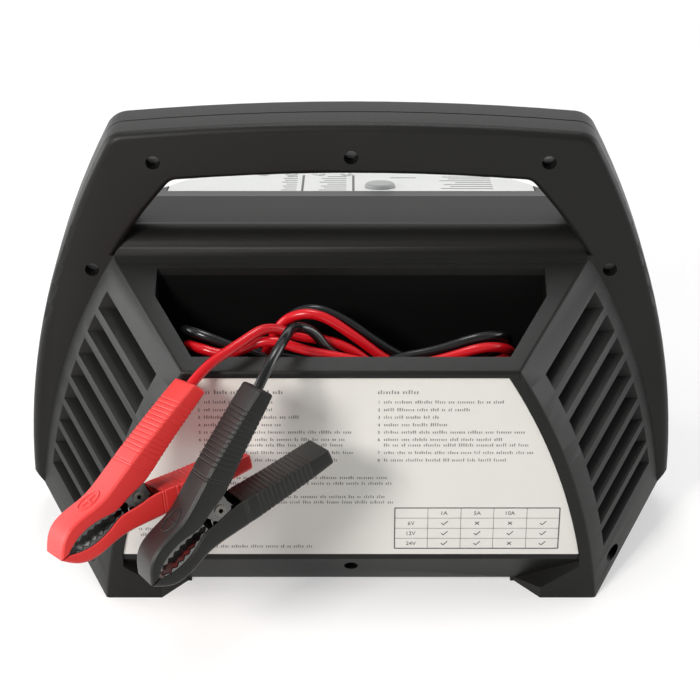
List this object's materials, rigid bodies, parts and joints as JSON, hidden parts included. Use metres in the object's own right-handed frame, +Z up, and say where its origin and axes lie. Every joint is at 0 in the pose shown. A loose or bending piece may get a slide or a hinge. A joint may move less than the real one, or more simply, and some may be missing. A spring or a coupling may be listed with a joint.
{
  "type": "car battery charger",
  "caption": "Portable battery charger in an arched black housing with a carrying handle, louvred flanks, a control panel and a rear compartment for its red and black clamp leads.",
  "frame": {"origin": "on the ground, under the middle of the housing's width and depth", "axes": "+X along the housing's width, to the right as seen from the rear label; +Y towards the control panel; +Z up"},
  "size_m": [0.2696, 0.2208, 0.1877],
  "materials": {
    "housing": "fine grained moulding",
    "tray": "fine grained moulding",
    "screws": "zinc plated",
    "grommets": "matt",
    "label": "satin film",
    "panel": "satin film",
    "lenses": "clear",
    "switches": "satin",
    "rocker": "polished",
    "button": "satin",
    "boards": "solder mask",
    "lamps": "tinted",
    "laminations": "stacked sheet",
    "bobbin": "natural",
    "windings": "enamelled wire",
    "zinc": "zinc plated",
    "aluminium": "extruded",
    "components": "moulded",
    "capacitor_can": "sleeve",
    "fuse_glass": "clear",
    "red_flex": "soft sheath",
    "black_flex": "soft sheath",
    "red_grips": "satin moulding",
    "black_grips": "satin moulding",
    "jaws": "plated sheet",
    "rivets": "plated",
    "springs": "spring wire"
  },
  "bodies": {
    "charger": {"rear_shell": "housing", "front_shell": "housing", "housing_screws": "screws", "cable_tray": "tray", "lead_grommet": "grommets", "mains_gland": "grommets", "rear_label": "label", "panel_overlay": "panel", "indicator_lenses": "lenses", "rocker_body": "switches", "circuit_board": "boards", "board_screws": "screws", "indicator_leds": "lamps", "tact_switch": "switches", "transformer_core": "laminations", "transformer_bobbin": "bobbin", "transformer_windings": "windings", "transformer_strap": "zinc", "transformer_screws": "screws", "heat_sink": "aluminium", "rectifier_bridge": "components", "power_board": "boards", "deck_screws": "screws", "capacitor": "capacitor_can", "fuse_holder": "components", "fuse": "fuse_glass", "red_lead": "red_flex", "red_lead_loops": "red_flex", "red_upper_grip": "red_grips", "red_upper_jaw": "jaws", "red_rivet": "rivets", "red_spring": "springs", "black_lead": "black_flex", "black_lead_loops": "black_flex", "black_upper_grip": "black_grips", "black_upper_jaw": "jaws", "black_rivet": "rivets", "black_spring": "springs"},
    "button": {"mode_button": "button"},
    "rocker": {"power_rocker": "rocker"},
    "red_lower_half": {"red_lower_grip": "red_grips", "red_lower_jaw": "jaws"},
    "black_lower_half": {"black_lower_grip": "black_grips", "black_lower_jaw": "jaws"}
  },
  "joints": [
    {"name": "mode_press", "type": "slide", "parent": "charger", "child": "button", "axis": [0, -0.2425, -0.9701], "range_m": [0, 0.0006], "stiffness_N_per_m": 300, "springref_m": -0.0005},
    {"name": "power_switch", "type": "hinge", "parent": "charger", "child": "rocker", "pos_m": [0.058, 0.06744, 0.088], "axis": [1, 0, 0], "range_deg": [0, 18]},
    {"name": "red_clamp", "type": "hinge", "parent": "charger", "child": "red_lower_half", "pos_m": [-0.08315, -0.10811, 0.0751], "axis": [0.4328, -0.8312, 0.3489], "range_deg": [0, 25], "stiffness_Nm_per_rad": 0.15, "springref_deg": -17.19},
    {"name": "black_clamp", "type": "hinge", "parent": "charger", "child": "black_lower_half", "pos_m": [-0.05119, -0.12092, 0.07816], "axis": [0.3664, -0.8734, 0.3209], "range_deg": [0, 25], "stiffness_Nm_per_rad": 0.15, "springref_deg": -17.19}
  ]
}
